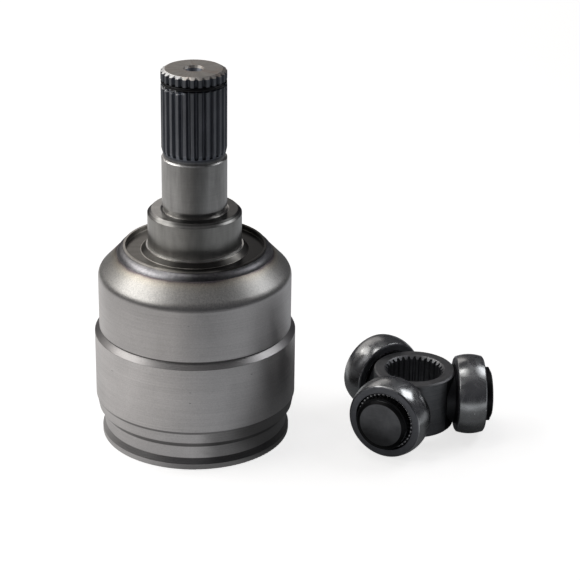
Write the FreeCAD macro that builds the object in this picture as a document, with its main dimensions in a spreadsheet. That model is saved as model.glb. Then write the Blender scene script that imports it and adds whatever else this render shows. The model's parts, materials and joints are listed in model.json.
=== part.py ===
"""Plunging tripod joint of a drive shaft, laid out in its two halves.

The housing stands on its open mouth with its splined stub shaft upwards. The tripod, a
splined spider with three needle-mounted ball rollers, lies beside it on its rollers.
Millimetres, +Z up, origin on the housing axis at the plane of the mouth.
"""
import FreeCAD, Part
import math
import os
import Sketcher

# Each size: value, meaning. Lengths are in millimetres and angles in degrees.
SIZES = {
    # housing cup, from the mouth upwards
    "mouth_lip_radius": (39.95, "lip that keeps the boot from sliding off"),
    "mouth_lip_length": (2.4, "height of that lip"),
    "mouth_lip_round": (0.4, "rounding of the lip's outer edges"),
    "lip_bevel_length": (2.6, "bevel from the lip down to the boot seat"),
    "boot_seat_radius": (38.85, "seat of the boot's large end, beside the bevel"),
    "boot_seat_length": (5.6, "length of the boot seat"),
    "boot_seat_top_radius": (39.5, "seat of the boot's large end, at its other end"),
    "steep_taper_length": (2.6, "length of the steep taper above the seat"),
    "steep_taper_radius": (41.3, "large end of the steep taper"),
    "taper_length": (4.5, "length of the gentle taper above it"),
    "taper_radius": (42.1, "large end of the gentle taper"),
    "step_length": (0.8, "small step up to the lower cylinder"),
    "lower_radius": (42.4, "thick lower cylinder"),
    "lower_length": (28.5, "length of the lower cylinder"),
    "shoulder_length": (2.0, "height of the shoulder between the cylinders"),
    "undercut_depth": (0.5, "turned relief at the foot of the upper cylinder"),
    "undercut_length": (0.8, "height of that relief"),
    "upper_radius": (40.5, "upper cylinder"),
    "upper_length": (24.7, "length of the upper cylinder"),
    "cone_length": (8.3, "height of the cone between cylinder and weld"),
    "cone_blend": (5.0, "rounding between cylinder and cone"),
    "weld_land_width": (2.67, "flat land under the weld bead, outwards from the flange's seat"),
    "flange_seat_depth": (4.4, "depth of the seat for the stub shaft's flange"),
    # inside of the cup
    "hub_room_radius": (21.0, "central bore, clear of the tilted hub"),
    "hub_room_depth": (72.5, "depth of the central bore"),
    "roof_rise": (1.5, "rise of the conical end of the central bore"),
    "mouth_lead": (1.6, "lead-in bevel of the central bore"),
    "stop_groove_offset": (3.4, "mouth to the groove of the stop ring"),
    "stop_groove_width": (1.8, "width of that groove"),
    "stop_groove_depth": (1.3, "depth of that groove"),
    "track_depth": (69.0, "depth of the roller tracks"),
    "track_clearance": (0.05, "roller to track flank"),
    "tip_clearance": (2.0, "trunnion tip to track floor"),
    # stub shaft, from its flange upwards
    "flange_radius": (29.9, "flange welded to the cup"),
    "flange_fit": (0.03, "radial gap round the flange"),
    "flange_lip_height": (3.2, "lip of the flange above the weld land"),
    "flange_lip_width": (1.0, "thickness of that lip"),
    "recess_depth": (2.0, "depth of the recess inside the lip"),
    "foot_flare": (2.0, "flare from the recess floor to the collar foot"),
    "foot_radius": (20.4, "foot ring of the collar"),
    "foot_height": (0.3, "height of the foot ring above the lip"),
    "collar_radius": (19.6, "bearing collar"),
    "collar_length": (14.1, "collar below its bevel"),
    "collar_bevel_height": (1.6, "height of the collar's bevel"),
    "collar_bevel_width": (1.6, "width of the collar's bevel"),
    "journal_radius": (13.5, "ground bearing journal"),
    "journal_relief_depth": (0.6, "grinding relief at both ends of the journal"),
    "journal_relief_length": (2.1, "length of the lower grinding relief"),
    "face_relief_width": (0.6, "bevel in the collar's face, outwards from the journal"),
    "face_relief_depth": (0.5, "depth of that bevel at the journal's relief"),
    "journal_length": (20.9, "length of the journal"),
    "journal_edge": (0.4, "bevel on the journal's upper edge"),
    "runout_radius": (12.7, "neck between journal and spline"),
    "runout_neck": (0.9, "height of that neck"),
    "runout_taper": (3.1, "taper from the neck to the spline's tips"),
    "runout_length": (2.4, "journal to the foot of the tooth spaces"),
    "spline_radius": (13.45, "spline over its teeth"),
    "spline_root_radius": (12.2, "spline at its roots"),
    "spline_length": (33.7, "length of the spline up to its bevel"),
    "spline_bevel_width": (1.7, "radial bevel on the spline's end"),
    "spline_bevel_height": (1.0, "height of that bevel"),
    "spline_teeth": (26, "number of teeth"),
    "space_mouth_half": (1.05, "half a tooth space at the tips"),
    "space_root_half": (0.3, "half a tooth space at the roots"),
    "cutter_overrun": (0.5, "how far a cutter runs past the stock"),
    "ring_wire_radius": (0.8, "round wire of the snap ring"),
    "ring_play": (0.05, "play of the wire below the tips and above the groove floor"),
    "ring_groove_half": (1.1, "half the width of the snap ring's groove"),
    "ring_groove_offset": (5.2, "spline end face to the middle of the groove"),
    "ring_opening": (24.0, "angle left open between the ends of the snap ring"),
    "centre_hole_radius": (4.2, "lathe centre at the face"),
    "centre_hole_depth": (4.4, "depth of the lathe centre's cone"),
    "pilot_radius": (1.7, "pilot hole of the lathe centre"),
    "pilot_depth": (3.0, "depth of the pilot hole below the cone"),
    # weld bead
    "bead_height": (2.4, "height of the weld bead at the flange"),
    "bead_radius": (4.0, "radius of the bead's rounded back"),
    "bead_margin": (0.1, "land left outside the bead"),
    # tripod
    "tripod_across": (93.6, "housing axis to tripod axis, to the right"),
    "tripod_back": (-0.7, "housing axis to tripod axis, to the back"),
    "tripod_turn": (2.7, "direction of the first trunnion"),
    "roller_radius": (17.1, "spherical crown of the roller"),
    "roller_half_width": (6.0, "half the roller's width"),
    "roller_bevel": (0.5, "bevel on the roller's edges"),
    "roller_distance": (23.8, "tripod axis to the middle of a roller"),
    "trunnion_radius": (10.9, "trunnion that the needles run on"),
    "trunnion_reach": (33.2, "tripod axis to the end of a trunnion"),
    "trunnion_bevel_width": (1.2, "radial bevel on the trunnion's end"),
    "trunnion_bevel_length": (0.7, "length of that bevel"),
    "shoulder_distance": (17.0, "tripod axis to the faced shoulder of a trunnion"),
    "shoulder_radius": (12.0, "shoulder between hub and trunnion"),
    "shoulder_root": (13.1, "tripod axis to the root of that shoulder, inside the hub's wall"),
    "face_margin": (1.2, "facing cutter beyond the roller"),
    "hub_radius": (17.3, "hub of the spider"),
    "hub_half_height": (12.3, "half the height of the hub"),
    "hub_edge": (0.6, "bevel on the hub's outer edges"),
    "bore_radius": (11.5, "spider bore over its inner tooth tips"),
    "bore_root_radius": (12.5, "spider bore at its tooth roots"),
    "bore_bevel": (1.4, "bevel at both ends of the bore"),
    "bore_teeth": (30, "number of inner teeth"),
    "bore_space_tip_half": (0.75, "half an inner tooth space at the tips"),
    "bore_space_root_half": (0.35, "half an inner tooth space at the roots"),
    "needle_radius": (0.95, "needle"),
    "needle_gap": (0.05, "running gap on either side of the needles"),
    "needle_count": (38, "needles round one trunnion"),
    "end_play": (0.1, "gap between pieces stacked along a trunnion"),
    "washer_fit": (0.05, "radial gap between washer and trunnion"),
    "inner_washer_thickness": (0.8, "washer between shoulder and needles"),
    "inner_washer_margin": (0.4, "inner washer's edge to the roller bore"),
    "needle_length": (11.1, "length of a needle"),
    "outer_washer_thickness": (1.4, "washer between needles and circlip"),
    "outer_washer_overlap": (0.3, "outer washer over the trunnion"),
    "circlip_thickness": (1.6, "circlip"),
    "circlip_overlap": (0.6, "circlip over the trunnion"),
    "circlip_groove_depth": (1.0, "depth of the circlip's groove"),
    "circlip_opening": (40.0, "angle left open between the circlip's ends"),
}

TRUNNIONS = 3
SWEEP_ALL = 360.0


def number(terms):
    """Value of a sum of named sizes, such as "collar_radius -collar_bevel_width"."""
    total = 0.0
    for term in terms.split():
        sign = -1.0 if term.startswith("-") else 1.0
        total += sign * SIZES[term.lstrip("-")][0]
    return total


def formula(terms):
    """The same sum as an expression that reads the sheet."""
    expression = "0"
    for term in terms.split():
        sign = "-" if term.startswith("-") else "+"
        expression += f" {sign} Sizes.{term.lstrip('-')}"
    return expression


def fill_sheet(doc):
    sheet = doc.addObject("Spreadsheet::Sheet", "Sizes")
    for row, (alias, (value, meaning)) in enumerate(SIZES.items(), start=1):
        sheet.set(f"A{row}", meaning)
        sheet.set(f"B{row}", str(value))
        sheet.setAlias(f"B{row}", alias)
    doc.recompute()


def origin_feature(body, role):
    for feature in body.Origin.OriginFeatures:
        if feature.Role == role:
            return feature
    raise RuntimeError(f"{body.Label} has no {role}")


def new_body(doc, label):
    body = doc.addObject("PartDesign::Body", label)
    body.Label = label
    return body


def new_sketch(body, name, plane, offset=""):
    """Sketch on one of the body's own planes, moved along its normal by a sum of sizes."""
    sketch = body.newObject("Sketcher::SketchObject", name)
    sketch.AttachmentSupport = [(origin_feature(body, plane), "")]
    sketch.MapMode = "FlatFace"
    if offset:
        sketch.setExpression("AttachmentOffset.Base.z", formula(offset))
    return sketch


def fix_point(sketch, geo, pos, across, up):
    """Tie a point to sums of sizes. An empty sum is an axis and None leaves it free."""
    for terms, kind, axis in ((across, "DistanceX", -2), (up, "DistanceY", -1)):
        if terms is None:
            continue
        if not terms:
            sketch.addConstraint(Sketcher.Constraint("PointOnObject", geo, pos, axis))
            continue
        here = sketch.getPoint(geo, pos)
        place = here.x if kind == "DistanceX" else here.y
        index = sketch.addConstraint(Sketcher.Constraint(kind, -1, 1, geo, pos, place))
        sketch.setExpression(f"Constraints[{index}]", formula(terms))


def polygon(sketch, corners):
    """Closed outline of straight lines through corners given as sums of sizes."""
    points = [FreeCAD.Vector(number(across), number(up), 0) for across, up in corners]
    lines = []
    for start, end in zip(points, points[1:] + points[:1]):
        lines.append(sketch.addGeometry(Part.LineSegment(start, end), False))
    for this, following in zip(lines, lines[1:] + lines[:1]):
        sketch.addConstraint(Sketcher.Constraint("Coincident", this, 2, following, 1))
    for line, (across, up) in zip(lines, corners):
        fix_point(sketch, line, 1, across, up)


def circle(sketch, across, radius):
    """Circle with its centre on the sketch's first axis."""
    middle = FreeCAD.Vector(number(across), 0, 0)
    shape = Part.Circle(middle, FreeCAD.Vector(0, 0, 1), number(radius))
    geo = sketch.addGeometry(shape, False)
    fix_point(sketch, geo, 3, across, "")
    index = sketch.addConstraint(Sketcher.Constraint("Radius", geo, number(radius)))
    sketch.setExpression(f"Constraints[{index}]", formula(radius))


def arc(sketch, middle, start, end, radius, centre=None):
    """Arc run anticlockwise from start to end, with its radius tied to the sheet."""
    ring = Part.Circle(middle, FreeCAD.Vector(0, 0, 1), (start - middle).Length)
    first = math.atan2(start.y - middle.y, start.x - middle.x)
    last = math.atan2(end.y - middle.y, end.x - middle.x)
    geo = sketch.addGeometry(Part.ArcOfCircle(ring, first, last), False)
    index = sketch.addConstraint(Sketcher.Constraint("Radius", geo, number(radius)))
    sketch.setExpression(f"Constraints[{index}]", formula(radius))
    if centre is not None:
        fix_point(sketch, geo, 3, *centre)
    return geo


def turn(body, name, sketch, axis, kind="Revolution", sweep=SWEEP_ALL):
    """Revolve a sketch about its own H_Axis or V_Axis, as a solid or as a Groove."""
    feature = body.newObject(f"PartDesign::{kind}", name)
    feature.Profile = sketch
    feature.ReferenceAxis = (sketch, [axis])
    feature.Angle = sweep
    return feature


def cut_along(body, name, sketch, length, into_normal=False):
    """Pocket of a stated length, against the sketch's normal unless told otherwise."""
    pocket = body.newObject("PartDesign::Pocket", name)
    pocket.Profile = sketch
    pocket.Type = "Length"
    pocket.Reversed = into_normal
    pocket.setExpression("Length", formula(length))
    return pocket


def repeat_round(body, name, feature, axis, count):
    """Copies of a feature evenly round one of the body's own axes."""
    pattern = body.newObject("PartDesign::PolarPattern", name)
    pattern.Originals = [feature]
    pattern.Axis = (origin_feature(body, axis), [""])
    pattern.Angle = SWEEP_ALL
    if isinstance(count, str):
        pattern.setExpression("Occurrences", formula(count))
    else:
        pattern.Occurrences = count
    body.Tip = pattern
    return pattern


def round_edges(doc, body, name, kind, base, wanted, size):
    """Fillet or Chamfer on the circular edges of base that the test picks out."""
    doc.recompute()
    picked = []
    for index, edge in enumerate(base.Shape.Edges, start=1):
        if isinstance(edge.Curve, Part.Circle) and wanted(edge.Curve):
            picked.append(f"Edge{index}")
    if not picked:
        raise RuntimeError(f"{body.Label}: no edge for {name}")
    feature = body.newObject(f"PartDesign::{kind}", name)
    feature.Base = (base, picked)
    feature.setExpression("Radius" if kind == "Fillet" else "Size", formula(size))
    return feature


def near(first, second):
    return abs(first - second) < 1e-4


# heights of the housing, as sums of the lengths below them
BOOT_SEAT_FOOT = "mouth_lip_length lip_bevel_length"
BOOT_SEAT_TOP = f"{BOOT_SEAT_FOOT} boot_seat_length"
STEEP_TAPER_TOP = f"{BOOT_SEAT_TOP} steep_taper_length"
TAPER_TOP = f"{STEEP_TAPER_TOP} taper_length"
STEP_TOP = f"{TAPER_TOP} step_length"
LOWER_TOP = f"{STEP_TOP} lower_length"
SHOULDER_TOP = f"{LOWER_TOP} shoulder_length"
UPPER_TOP = f"{SHOULDER_TOP} upper_length"
WELD_LAND = f"{UPPER_TOP} cone_length"
FLANGE_SEAT = f"{WELD_LAND} -flange_seat_depth"
LIP_TOP = f"{WELD_LAND} flange_lip_height"
RECESS_FLOOR = f"{LIP_TOP} -recess_depth"
FOOT_TOP = f"{LIP_TOP} foot_height"
COLLAR_EDGE = f"{FOOT_TOP} collar_length"
COLLAR_TOP = f"{COLLAR_EDGE} collar_bevel_height"
JOURNAL_FOOT = f"{COLLAR_TOP} journal_relief_length"
JOURNAL_TOP = f"{JOURNAL_FOOT} journal_length"
SPLINE_FOOT = f"{JOURNAL_TOP} runout_length"
SPLINE_EDGE = f"{SPLINE_FOOT} spline_length"
SHAFT_END = f"{SPLINE_EDGE} spline_bevel_height"
RING_MIDDLE = f"{SHAFT_END} -ring_groove_offset"

# radii that one piece takes from another
FLANGE_BORE = "flange_radius flange_fit"
WELD_LAND_EDGE = f"{FLANGE_BORE} weld_land_width"
RING_RADIUS = "spline_radius -ring_play -ring_wire_radius"
RING_FLOOR = f"{RING_RADIUS} -ring_wire_radius -ring_play"
TRACK_RADIUS = "roller_radius track_clearance"
TRACK_FLOOR = "trunnion_reach tip_clearance"
NEEDLE_RING = "trunnion_radius needle_gap needle_radius"
ROLLER_BORE = f"{NEEDLE_RING} needle_radius needle_gap"
WASHER_BORE = "trunnion_radius washer_fit"
CIRCLIP_FLOOR = "trunnion_radius -circlip_groove_depth"

# distances along a trunnion, from the tripod axis outwards
INNER_WASHER_START = "shoulder_distance end_play"
NEEDLE_START = f"{INNER_WASHER_START} inner_washer_thickness end_play"
OUTER_WASHER_START = f"{NEEDLE_START} needle_length end_play"
CIRCLIP_START = f"{OUTER_WASHER_START} outer_washer_thickness end_play"
CIRCLIP_END = f"{CIRCLIP_START} circlip_thickness"


def make_cup(doc):
    """Cup with a stepped outside, a central bore and three roller tracks."""
    body = new_body(doc, "housing_cup")
    profile = new_sketch(body, "cup_outside", "XZ_Plane")
    polygon(profile, [
        ("", ""),
        ("mouth_lip_radius", ""),
        ("mouth_lip_radius", "mouth_lip_length"),
        ("boot_seat_radius", BOOT_SEAT_FOOT),
        ("boot_seat_top_radius", BOOT_SEAT_TOP),
        ("steep_taper_radius", STEEP_TAPER_TOP),
        ("taper_radius", TAPER_TOP),
        ("lower_radius", STEP_TOP),
        ("lower_radius", LOWER_TOP),
        ("upper_radius -undercut_depth", SHOULDER_TOP),
        ("upper_radius -undercut_depth", f"{SHOULDER_TOP} undercut_length"),
        ("upper_radius", f"{SHOULDER_TOP} undercut_length"),
        ("upper_radius", UPPER_TOP),
        (WELD_LAND_EDGE, WELD_LAND),
        (FLANGE_BORE, WELD_LAND),
        (FLANGE_BORE, FLANGE_SEAT),
        ("", FLANGE_SEAT),
    ])
    blank = turn(body, "cup_blank", profile, "V_Axis")

    inside = new_sketch(body, "central_bore_section", "XZ_Plane")
    polygon(inside, [
        ("", ""),
        ("hub_room_radius mouth_lead", ""),
        ("hub_room_radius", "mouth_lead"),
        ("hub_room_radius", "stop_groove_offset"),
        ("hub_room_radius stop_groove_depth", "stop_groove_offset"),
        ("hub_room_radius stop_groove_depth", "stop_groove_offset stop_groove_width"),
        ("hub_room_radius", "stop_groove_offset stop_groove_width"),
        ("hub_room_radius", "hub_room_depth"),
        ("", "hub_room_depth roof_rise"),
    ])
    bored = turn(body, "central_bore", inside, "V_Axis", kind="Groove")

    track = new_sketch(body, "track_section", "XY_Plane")
    draw_track(track)
    first = cut_along(body, "first_track", track, "track_depth", into_normal=True)
    tracks = repeat_round(body, "tracks", first, "Z_Axis", TRUNNIONS)

    lip = round_edges(
        doc, body, "lip_rounding", "Fillet", tracks,
        lambda ring: near(ring.Radius, number("mouth_lip_radius")),
        "mouth_lip_round",
    )
    cone = round_edges(
        doc, body, "cone_rounding", "Fillet", lip,
        lambda ring: near(ring.Radius, number("upper_radius"))
        and near(ring.Center.z, number(UPPER_TOP)),
        "cone_blend",
    )
    body.Tip = cone
    body.Placement.Rotation = FreeCAD.Rotation(FreeCAD.Vector(0, 0, 1), number("tripod_turn"))
    body.setExpression("Placement.Rotation.Angle", formula("tripod_turn"))
    return body, [(blank, bored), (bored, tracks)]


def draw_track(sketch):
    """Track section: a flank arc that fits the ball roller, closed by the floor arc."""
    origin = FreeCAD.Vector(0, 0, 0)
    middle = FreeCAD.Vector(number("roller_distance"), 0, 0)
    floor = number(TRACK_FLOOR)
    flank = number(TRACK_RADIUS)
    across = (floor ** 2 + middle.x ** 2 - flank ** 2) / (2 * middle.x)
    up = math.sqrt(floor ** 2 - across ** 2)
    upper = FreeCAD.Vector(across, up, 0)
    lower = FreeCAD.Vector(across, -up, 0)
    flanks = arc(sketch, middle, upper, lower, TRACK_RADIUS, ("roller_distance", ""))
    ground = arc(sketch, origin, lower, upper, TRACK_FLOOR, ("", ""))
    sketch.addConstraint(Sketcher.Constraint("Coincident", flanks, 2, ground, 1))
    sketch.addConstraint(Sketcher.Constraint("Coincident", ground, 2, flanks, 1))


def make_stub_shaft(doc):
    """Turned stub shaft with flange, collar, journal and a rolled spline."""
    body = new_body(doc, "stub_shaft")
    profile = new_sketch(body, "shaft_section", "XZ_Plane")
    ring_low = f"{RING_MIDDLE} -ring_groove_half"
    ring_high = f"{RING_MIDDLE} ring_groove_half"
    relief = "journal_radius -journal_relief_depth"
    polygon(profile, [
        ("", FLANGE_SEAT),
        ("flange_radius", FLANGE_SEAT),
        ("flange_radius", LIP_TOP),
        ("flange_radius -flange_lip_width", LIP_TOP),
        ("flange_radius -flange_lip_width", RECESS_FLOOR),
        ("foot_radius foot_flare", RECESS_FLOOR),
        ("foot_radius", f"{RECESS_FLOOR} foot_flare"),
        ("foot_radius", FOOT_TOP),
        ("collar_radius", FOOT_TOP),
        ("collar_radius", COLLAR_EDGE),
        ("collar_radius -collar_bevel_width", COLLAR_TOP),
        ("journal_radius face_relief_width", COLLAR_TOP),
        (relief, f"{COLLAR_TOP} -face_relief_depth"),
        (relief, JOURNAL_FOOT),
        ("journal_radius", JOURNAL_FOOT),
        ("journal_radius", f"{JOURNAL_TOP} -journal_edge"),
        ("journal_radius -journal_edge", JOURNAL_TOP),
        ("runout_radius", JOURNAL_TOP),
        ("runout_radius", f"{JOURNAL_TOP} runout_neck"),
        ("spline_radius", f"{JOURNAL_TOP} runout_neck runout_taper"),
        ("spline_radius", ring_low),
        (RING_FLOOR, ring_low),
        (RING_FLOOR, ring_high),
        ("spline_radius", ring_high),
        ("spline_radius", SPLINE_EDGE),
        ("spline_radius -spline_bevel_width", SHAFT_END),
        ("centre_hole_radius", SHAFT_END),
        ("pilot_radius", f"{SHAFT_END} -centre_hole_depth"),
        ("pilot_radius", f"{SHAFT_END} -centre_hole_depth -pilot_depth"),
        ("", f"{SHAFT_END} -centre_hole_depth -pilot_depth"),
    ])
    blank = turn(body, "shaft_blank", profile, "V_Axis")
    space = new_sketch(body, "spline_space_section", "XY_Plane", SHAFT_END)
    polygon(space, [
        ("spline_root_radius", "-space_root_half"),
        ("spline_radius", "-space_mouth_half"),
        ("spline_radius cutter_overrun", "-space_mouth_half"),
        ("spline_radius cutter_overrun", "space_mouth_half"),
        ("spline_radius", "space_mouth_half"),
        ("spline_root_radius", "space_root_half"),
    ])
    cut = cut_along(body, "spline_space", space, "spline_bevel_height spline_length")
    splined = repeat_round(body, "spline", cut, "Z_Axis", "spline_teeth")
    return body, [(blank, splined)]


def make_weld_seam(doc):
    """Bead of the weld that joins the flange to the cup."""
    body = new_body(doc, "weld_seam")
    sketch = new_sketch(body, "bead_section", "XZ_Plane")
    inner = (FLANGE_BORE, WELD_LAND)
    outer = (f"{WELD_LAND_EDGE} -bead_margin", WELD_LAND)
    crest = (FLANGE_BORE, f"{WELD_LAND} bead_height")
    foot, edge, top = [FreeCAD.Vector(number(across), number(up), 0)
                       for across, up in (inner, outer, crest)]
    base = sketch.addGeometry(Part.LineSegment(foot, edge), False)
    chord = top - edge
    rise = math.sqrt(number("bead_radius") ** 2 - chord.Length ** 2 / 4)
    inwards = FreeCAD.Vector(-chord.y, chord.x, 0).normalize()
    middle = (edge + top) * 0.5 + inwards * rise
    back = arc(sketch, middle, edge, top, "bead_radius")
    side = sketch.addGeometry(Part.LineSegment(top, foot), False)
    sketch.addConstraint(Sketcher.Constraint("Coincident", base, 2, back, 1))
    sketch.addConstraint(Sketcher.Constraint("Coincident", back, 2, side, 1))
    sketch.addConstraint(Sketcher.Constraint("Coincident", side, 2, base, 1))
    fix_point(sketch, base, 1, *inner)
    fix_point(sketch, back, 1, *outer)
    fix_point(sketch, side, 1, *crest)
    turn(body, "bead", sketch, "V_Axis")
    return body, []


def make_snap_ring(doc):
    """Open ring of round wire, sprung into its groove below the spline's tips."""
    ring = doc.addObject("Part::Torus", "snap_ring")
    ring.Label = "snap_ring"
    ring.setExpression("Radius1", formula(RING_RADIUS))
    ring.setExpression("Radius2", formula("ring_wire_radius"))
    ring.setExpression("Angle3", f"{SWEEP_ALL} - Sizes.ring_opening")
    ring.setExpression("Placement.Base.z", formula(RING_MIDDLE))
    return ring, []


def place_on_tripod(body, index):
    """Put a piece drawn about the tripod's centre on the trunnion of that index."""
    turn_step = SWEEP_ALL / TRUNNIONS * index
    up = FreeCAD.Vector(0, 0, 1)
    place = FreeCAD.Vector(number("tripod_across"), number("tripod_back"), number("roller_radius"))
    body.Placement = FreeCAD.Placement(
        place, FreeCAD.Rotation(up, number("tripod_turn") + turn_step))
    body.setExpression("Placement.Base.x", formula("tripod_across"))
    body.setExpression("Placement.Base.y", formula("tripod_back"))
    body.setExpression("Placement.Base.z", formula("roller_radius"))
    body.setExpression("Placement.Rotation.Angle", f"Sizes.tripod_turn + {turn_step}")


def make_spider(doc):
    """Hub with inner spline and three faced trunnions, each grooved for its circlip."""
    body = new_body(doc, "spider")
    hub_section = new_sketch(body, "hub_section", "XZ_Plane")
    polygon(hub_section, [
        ("bore_radius bore_bevel", "-hub_half_height"),
        ("hub_radius -hub_edge", "-hub_half_height"),
        ("hub_radius", "-hub_half_height hub_edge"),
        ("hub_radius", "hub_half_height -hub_edge"),
        ("hub_radius -hub_edge", "hub_half_height"),
        ("bore_radius bore_bevel", "hub_half_height"),
        ("bore_radius", "hub_half_height -bore_bevel"),
        ("bore_radius", "-hub_half_height bore_bevel"),
    ])
    hub = turn(body, "hub_blank", hub_section, "V_Axis")

    cutter = new_sketch(body, "facing_cutter", "YZ_Plane", "shoulder_distance")
    circle(cutter, "", "roller_radius face_margin")
    faced = cut_along(body, "first_facing", cutter, "hub_radius", into_normal=True)
    faces = repeat_round(body, "facings", faced, "Z_Axis", TRUNNIONS)

    trunnion_section = new_sketch(body, "trunnion_section", "XY_Plane")
    polygon(trunnion_section, [
        ("shoulder_root", ""),
        ("shoulder_root", "shoulder_radius"),
        ("shoulder_distance", "shoulder_radius"),
        ("shoulder_distance", "trunnion_radius"),
        (CIRCLIP_START, "trunnion_radius"),
        (CIRCLIP_START, CIRCLIP_FLOOR),
        (CIRCLIP_END, CIRCLIP_FLOOR),
        (CIRCLIP_END, "trunnion_radius"),
        ("trunnion_reach -trunnion_bevel_length", "trunnion_radius"),
        ("trunnion_reach", "trunnion_radius -trunnion_bevel_width"),
        ("trunnion_reach", ""),
    ])
    trunnion = turn(body, "first_trunnion", trunnion_section, "H_Axis")
    arms = repeat_round(body, "trunnions", trunnion, "Z_Axis", TRUNNIONS)

    space = new_sketch(body, "bore_space_section", "XY_Plane", "hub_half_height")
    polygon(space, [
        ("bore_radius -cutter_overrun", "-bore_space_tip_half"),
        ("bore_radius", "-bore_space_tip_half"),
        ("bore_root_radius", "-bore_space_root_half"),
        ("bore_root_radius", "bore_space_root_half"),
        ("bore_radius", "bore_space_tip_half"),
        ("bore_radius -cutter_overrun", "bore_space_tip_half"),
    ])
    cut = cut_along(body, "bore_space", space, "hub_half_height hub_half_height")
    splined = repeat_round(body, "bore_spline", cut, "Z_Axis", "bore_teeth")
    place_on_tripod(body, 0)
    return body, [(hub, faces), (arms, splined)]


def make_roller(doc, index):
    """Ball roller: a ring with a spherical crown and a plain bore."""
    body = new_body(doc, f"roller_{index + 1}")
    section = new_sketch(body, "roller_section", "XY_Plane")
    inner_side = "roller_distance -roller_half_width"
    outer_side = "roller_distance roller_half_width"
    half = number("roller_half_width")
    edge = math.sqrt(number("roller_radius") ** 2 - half ** 2)
    middle = FreeCAD.Vector(number("roller_distance"), 0, 0)
    bore = number(ROLLER_BORE)
    near_bore = FreeCAD.Vector(middle.x - half, bore, 0)
    far_bore = FreeCAD.Vector(middle.x + half, bore, 0)
    near_edge = FreeCAD.Vector(middle.x - half, edge, 0)
    far_edge = FreeCAD.Vector(middle.x + half, edge, 0)
    inner_line = sketch_line(section, near_bore, far_bore)
    far_side = sketch_line(section, far_bore, far_edge)
    crown = arc(section, middle, far_edge, near_edge, "roller_radius", ("roller_distance", ""))
    near_side = sketch_line(section, near_edge, near_bore)
    loop = (inner_line, far_side, crown, near_side)
    for this, following in zip(loop, loop[1:] + loop[:1]):
        section.addConstraint(Sketcher.Constraint("Coincident", this, 2, following, 1))
    fix_point(section, inner_line, 1, inner_side, ROLLER_BORE)
    fix_point(section, far_side, 1, outer_side, ROLLER_BORE)
    fix_point(section, crown, 1, outer_side, None)
    fix_point(section, near_side, 1, inner_side, None)
    ring = turn(body, "roller_ring", section, "H_Axis")
    bevels = round_edges(
        doc, body, "roller_bevels", "Chamfer", ring,
        lambda rim: near(rim.Radius, edge),
        "roller_bevel",
    )
    body.Tip = bevels
    place_on_tripod(body, index)
    return body, [(ring, bevels)]


def sketch_line(sketch, start, end):
    return sketch.addGeometry(Part.LineSegment(start, end), False)


def make_needles(doc, index):
    """Full complement of needles, side by side round one trunnion."""
    body = new_body(doc, f"needles_{index + 1}")
    body.AllowCompound = True
    section = new_sketch(body, "needle_section", "YZ_Plane", NEEDLE_START)
    circle(section, NEEDLE_RING, "needle_radius")
    needle = body.newObject("PartDesign::Pad", "first_needle")
    needle.Profile = section
    needle.setExpression("Length", formula("needle_length"))
    repeat_round(body, "needle_set", needle, "X_Axis", "needle_count")
    place_on_tripod(body, index)
    return body, []


def make_ring(doc, label, index, start, thickness, inside, outside, opening=""):
    """Flat ring round a trunnion, whole or with an opening between its ends."""
    body = new_body(doc, f"{label}_{index + 1}")
    section = new_sketch(body, "ring_section", "XY_Plane")
    polygon(section, [
        (start, inside),
        (f"{start} {thickness}", inside),
        (f"{start} {thickness}", outside),
        (start, outside),
    ])
    ring = turn(body, "ring", section, "H_Axis", sweep=SWEEP_ALL - number(opening))
    if opening:
        ring.setExpression("Angle", f"{SWEEP_ALL} - Sizes.{opening}")
    place_on_tripod(body, index)
    return body, []


def make_trunnion_set(doc, index):
    """What one trunnion carries, from its shoulder outwards."""
    return [
        make_ring(
            doc, "inner_washer", index, INNER_WASHER_START, "inner_washer_thickness",
            WASHER_BORE, f"{ROLLER_BORE} -inner_washer_margin"),
        make_needles(doc, index),
        make_roller(doc, index),
        make_ring(
            doc, "outer_washer", index, OUTER_WASHER_START, "outer_washer_thickness",
            WASHER_BORE, "trunnion_radius outer_washer_overlap"),
        make_ring(
            doc, "circlip", index, CIRCLIP_START, "circlip_thickness",
            f"{CIRCLIP_FLOOR} washer_fit", "trunnion_radius circlip_overlap",
            "circlip_opening"),
    ]


def check(doc, pieces):
    """Stop on a failed feature, a bad solid or a cut that removed nothing."""
    for item in doc.Objects:
        if "Invalid" in item.State or "Error" in item.State:
            raise RuntimeError(f"{item.Label} failed: {item.State}")
    for piece, cuts in pieces:
        if piece.Shape.isNull() or not piece.Shape.isValid() or not piece.Shape.Solids:
            raise RuntimeError(f"{piece.Label} is not a valid solid")
        for before, after in cuts:
            if after.Shape.Volume >= before.Shape.Volume:
                raise RuntimeError(f"{after.Label} cuts nothing")


def main():
    doc = FreeCAD.newDocument("tripod_joint")
    fill_sheet(doc)
    pieces = [
        make_cup(doc),
        make_stub_shaft(doc),
        make_weld_seam(doc),
        make_snap_ring(doc),
        make_spider(doc),
    ]
    for index in range(TRUNNIONS):
        pieces += make_trunnion_set(doc, index)
    doc.recompute()
    check(doc, pieces)
    os.makedirs("parts", exist_ok=True)
    for piece, _ in pieces:
        piece.Shape.exportStep(f"parts/{piece.Label}.step")
        solids = piece.Shape.Solids
        print(f"{piece.Label}: {len(solids)} solids, {piece.Shape.Volume:.1f} mm3")


main()
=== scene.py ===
"""Plunging tripod joint of a drive shaft, taken apart: housing on its mouth, tripod beside it."""
import json
import math

import bpy
import numpy as np
from mathutils import Matrix, Vector


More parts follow.
